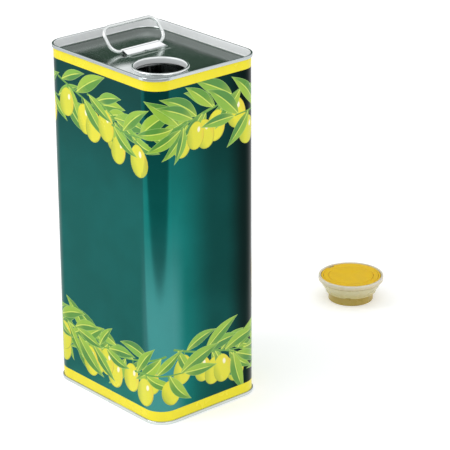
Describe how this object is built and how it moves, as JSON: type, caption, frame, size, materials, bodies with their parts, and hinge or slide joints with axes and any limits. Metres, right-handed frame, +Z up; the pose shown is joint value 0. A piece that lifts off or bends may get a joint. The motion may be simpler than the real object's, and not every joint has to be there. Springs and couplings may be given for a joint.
{
  "type": "oil tin",
  "caption": "Tall rectangular oil tin with double-seamed ends, round neck, folding wire handle and a separate pull-out spout closure with screw cap and pull ring.",
  "frame": {"origin": "centre of the tin's foot, on the surface that it stands on", "axes": "+Z up along the tin and its neck, +X towards the neck's side, +Y towards the closure that stands behind the tin"},
  "size_m": [0.1272, 0.3005, 0.2798],
  "materials": {
    "printed_tinplate": "glossy varnished print",
    "bright_tinplate": "bright tin coating",
    "sealing_compound": "dried rubber compound",
    "plated_wire": "bright plated wire",
    "natural_plastic": "translucent moulded polyethylene",
    "liner_foam": "foamed polyethylene",
    "yellow_plastic": "satin moulded polyethylene"
  },
  "bodies": {
    "tin": {"body_sheet": "printed_tinplate", "top_end": "bright_tinplate", "bottom_end": "bright_tinplate", "top_compound": "sealing_compound", "bottom_compound": "sealing_compound", "handle_clip": "bright_tinplate"},
    "bail": {"handle_bail": "plated_wire"},
    "closure": {"closure_body": "natural_plastic", "folding_wall": "natural_plastic"},
    "spout": {"spout_tube": "natural_plastic", "tear_seal": "natural_plastic"},
    "liner": {"cap_liner": "liner_foam"},
    "cap": {"screw_cap": "yellow_plastic"},
    "ring": {"pull_ring": "yellow_plastic"}
  },
  "joints": [
    {"name": "bail_swing", "type": "hinge", "parent": "tin", "child": "bail", "pos_m": [-0.0195, 0.005, 0.26265], "axis": [0, 1, 0], "range_deg": [-48, 128]},
    {"name": "closure_lift", "type": "slide", "parent": "tin", "child": "closure", "axis": [0, 0, 1], "range_m": [0, 0.06]},
    {"name": "spout_pull", "type": "slide", "parent": "closure", "child": "spout", "axis": [0, 0, 1], "range_m": [0, 0.0296], "deforming": ["folding_wall"]},
    {"name": "cap_rise", "type": "slide", "parent": "spout", "child": "liner", "axis": [0, 0, 1], "range_m": [0, 0.0064]},
    {"name": "cap_turn", "type": "hinge", "parent": "liner", "child": "cap", "pos_m": [-0.018, 0.223, 0], "axis": [0, 0, 1], "range_deg": [0, 720]},
    {"name": "ring_lift", "type": "hinge", "parent": "cap", "child": "ring", "pos_m": [-0.04085, 0.223, 0.0204], "axis": [0, -1, 0], "range_deg": [0, 100]}
  ],
  "couplings": [
    {"joint": "cap_rise", "follows": "cap_turn", "m_per_rad": 0.0005093}
  ]
}
